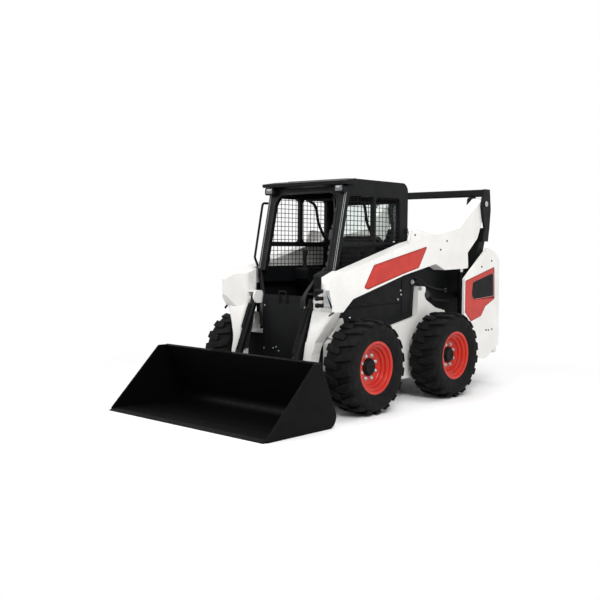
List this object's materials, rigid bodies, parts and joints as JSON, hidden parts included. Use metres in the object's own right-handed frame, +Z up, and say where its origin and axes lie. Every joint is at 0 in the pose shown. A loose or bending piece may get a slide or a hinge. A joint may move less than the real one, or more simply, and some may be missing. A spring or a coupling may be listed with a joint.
{
  "type": "skid steer loader",
  "caption": "Compact wheeled loader with a mesh-sided cab, lift arms on swinging rear links, hydraulic cylinders and a wide front bucket.",
  "frame": {"origin": "on the floor, midway between the cutting edge and the tail and midway between the sides", "axes": "+Z up, front of the machine towards -Y, its left side towards +X"},
  "size_m": [1.9, 3.8, 2.049],
  "materials": {
    "white_paint": "gloss",
    "black_paint": "satin",
    "red_paint": "gloss",
    "tyre_rubber": "matte",
    "black_plastic": "matte",
    "black_mesh": "satin",
    "clear_glass": "gloss",
    "seat_vinyl": "matte",
    "lamp_lens": "gloss",
    "engine_iron": "matte",
    "chromed_rod": "polished",
    "bucket_black": "satin"
  },
  "bodies": {
    "chassis": {"axle_housings": "black_paint", "drive_cases": "white_paint", "belly_plate": "black_paint", "frame_ends": "black_paint", "engine_bay_walls": "black_paint", "rear_fenders": "white_paint", "front_panel": "black_paint", "nose_sides": "black_paint", "side_covers": "black_plastic", "cab_walls": "black_paint", "side_screens": "black_mesh", "cab_rear_wall": "black_paint", "cab_roof": "black_paint", "cab_front_frame": "black_paint", "rear_window_pane": "clear_glass", "cab_floor": "black_paint", "seat_base": "black_plastic", "seat_cushion": "seat_vinyl", "seat_back": "seat_vinyl", "consoles": "black_plastic", "work_lights": "lamp_lens", "grab_rail": "black_paint", "engine_block": "engine_iron", "engine_deck": "black_paint", "rear_bumper": "white_paint"},
    "wheel_front_left": {"tyre_front_left": "tyre_rubber", "rim_front_left": "red_paint"},
    "wheel_front_right": {"tyre_front_right": "tyre_rubber", "rim_front_right": "red_paint"},
    "wheel_rear_left": {"tyre_rear_left": "tyre_rubber", "rim_rear_left": "red_paint"},
    "wheel_rear_right": {"tyre_rear_right": "tyre_rubber", "rim_rear_right": "red_paint"},
    "engine_cover": {"engine_cover": "black_paint"},
    "rear_door": {"rear_door": "black_paint"},
    "rear_links": {"rear_links": "black_paint", "link_cross_tube": "black_paint"},
    "lift_arms": {"lift_arms": "white_paint", "arm_cross_tube": "black_paint"},
    "lift_barrels": {"lift_cylinder_barrels": "black_paint"},
    "lift_rods": {"lift_cylinder_rods": "chromed_rod"},
    "tilt_barrels": {"tilt_cylinder_barrels": "black_paint"},
    "tilt_rods": {"tilt_cylinder_rods": "chromed_rod"},
    "bucket": {"bucket_shell": "bucket_black", "bucket_sides": "bucket_black", "cutting_edge": "bucket_black", "quick_coupler": "black_paint", "coupler_bars": "black_paint"}
  },
  "joints": [
    {"name": "spin_front_left", "type": "hinge", "parent": "chassis", "child": "wheel_front_left", "pos_m": [0.74, -0.45, 0.408], "axis": [1, 0, 0], "continuous": true},
    {"name": "spin_front_right", "type": "hinge", "parent": "chassis", "child": "wheel_front_right", "pos_m": [-0.74, -0.45, 0.408], "axis": [1, 0, 0], "continuous": true},
    {"name": "spin_rear_left", "type": "hinge", "parent": "chassis", "child": "wheel_rear_left", "pos_m": [0.74, 0.795, 0.408], "axis": [1, 0, 0], "continuous": true},
    {"name": "spin_rear_right", "type": "hinge", "parent": "chassis", "child": "wheel_rear_right", "pos_m": [-0.74, 0.795, 0.408], "axis": [1, 0, 0], "continuous": true},
    {"name": "link_swing", "type": "hinge", "parent": "chassis", "child": "rear_links", "pos_m": [0, 1.45, 0.95], "axis": [-1, 0, 0], "range_deg": [0, 11.5]},
    {"name": "lift", "type": "hinge", "parent": "rear_links", "child": "lift_arms", "pos_m": [0, 1.64, 1.885], "axis": [-1, 0, 0], "range_deg": [0, 46]},
    {"name": "lift_barrel_swing", "type": "hinge", "parent": "chassis", "child": "lift_barrels", "pos_m": [0, 1.325, 0.52], "axis": [-1, 0, 0], "range_deg": [-6.48, 0]},
    {"name": "lift_rod_slide", "type": "slide", "parent": "lift_barrels", "child": "lift_rods", "axis": [0, -0.0325, 0.9995], "range_m": [0, 0.5186]},
    {"name": "bucket_tilt", "type": "hinge", "parent": "lift_arms", "child": "bucket", "pos_m": [0, -0.88, 0.185], "axis": [1, 0, 0], "range_deg": [-28, 98]},
    {"name": "tilt_barrel_swing", "type": "hinge", "parent": "lift_arms", "child": "tilt_barrels", "pos_m": [0, -0.702, 0.96], "axis": [1, 0, 0], "range_deg": [-1.36, 4.75]},
    {"name": "tilt_rod_slide", "type": "slide", "parent": "tilt_barrels", "child": "tilt_rods", "axis": [0, -0.3872, -0.922], "range_m": [-0.0649, 0.2273]},
    {"name": "engine_cover_lift", "type": "hinge", "parent": "chassis", "child": "engine_cover", "pos_m": [0, 1.103, 1.425], "axis": [1, 0, 0], "range_deg": [0, 60]},
    {"name": "rear_door_swing", "type": "hinge", "parent": "chassis", "child": "rear_door", "pos_m": [-0.485, 1.868, 0.85], "axis": [0, 0, 1], "range_deg": [0, 105]}
  ],
  "couplings": [
    {"joint": "link_swing", "follows": "lift", "ratio": 0.25},
    {"joint": "lift_barrel_swing", "follows": "lift", "ratio": -0.14081},
    {"joint": "lift_rod_slide", "follows": "lift", "m_per_rad": 0.64598},
    {"joint": "tilt_barrel_swing", "follows": "bucket_tilt", "ratio": 0.04848},
    {"joint": "tilt_rod_slide", "follows": "bucket_tilt", "m_per_rad": 0.13286}
  ]
}
